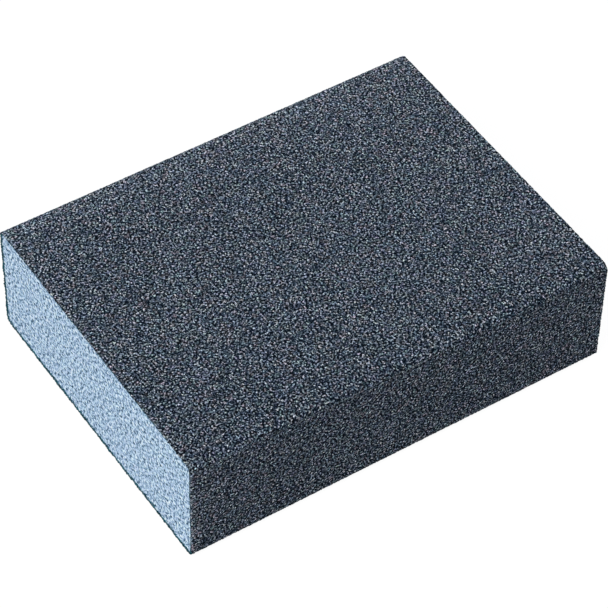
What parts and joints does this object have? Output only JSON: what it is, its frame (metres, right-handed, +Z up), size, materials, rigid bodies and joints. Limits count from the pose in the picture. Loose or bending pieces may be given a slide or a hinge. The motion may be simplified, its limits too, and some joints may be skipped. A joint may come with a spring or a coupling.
{
  "type": "sanding block",
  "caption": "Rectangular foam hand sanding block with abrasive grit on the wide faces and long edges, bare foam at the short ends, and a soft squeeze in thickness.",
  "frame": {"origin": "centre of the underside, on the floor the block rests on", "axes": "+X along the length towards one bare foam end, +Y across the width towards the back long side, +Z up through the thickness; the front long side faces -Y"},
  "size_m": [0.1, 0.075, 0.028],
  "materials": {
    "foam": "matte",
    "adhesive": "satin",
    "grit": "matte"
  },
  "bodies": {
    "base": {"foam_core": "foam", "adhesive_bottom": "adhesive", "grit_bottom": "grit", "adhesive_front": "adhesive", "grit_front": "grit", "adhesive_back": "adhesive", "grit_back": "grit"},
    "top": {"adhesive_top": "adhesive", "grit_top": "grit"}
  },
  "joints": [
    {"name": "squeeze", "type": "slide", "parent": "base", "child": "top", "axis": [0, 0, -1], "range_m": [0, 0.008], "stiffness_N_per_m": 700, "deforming": ["foam_core", "adhesive_front", "grit_front", "adhesive_back", "grit_back"]}
  ]
}
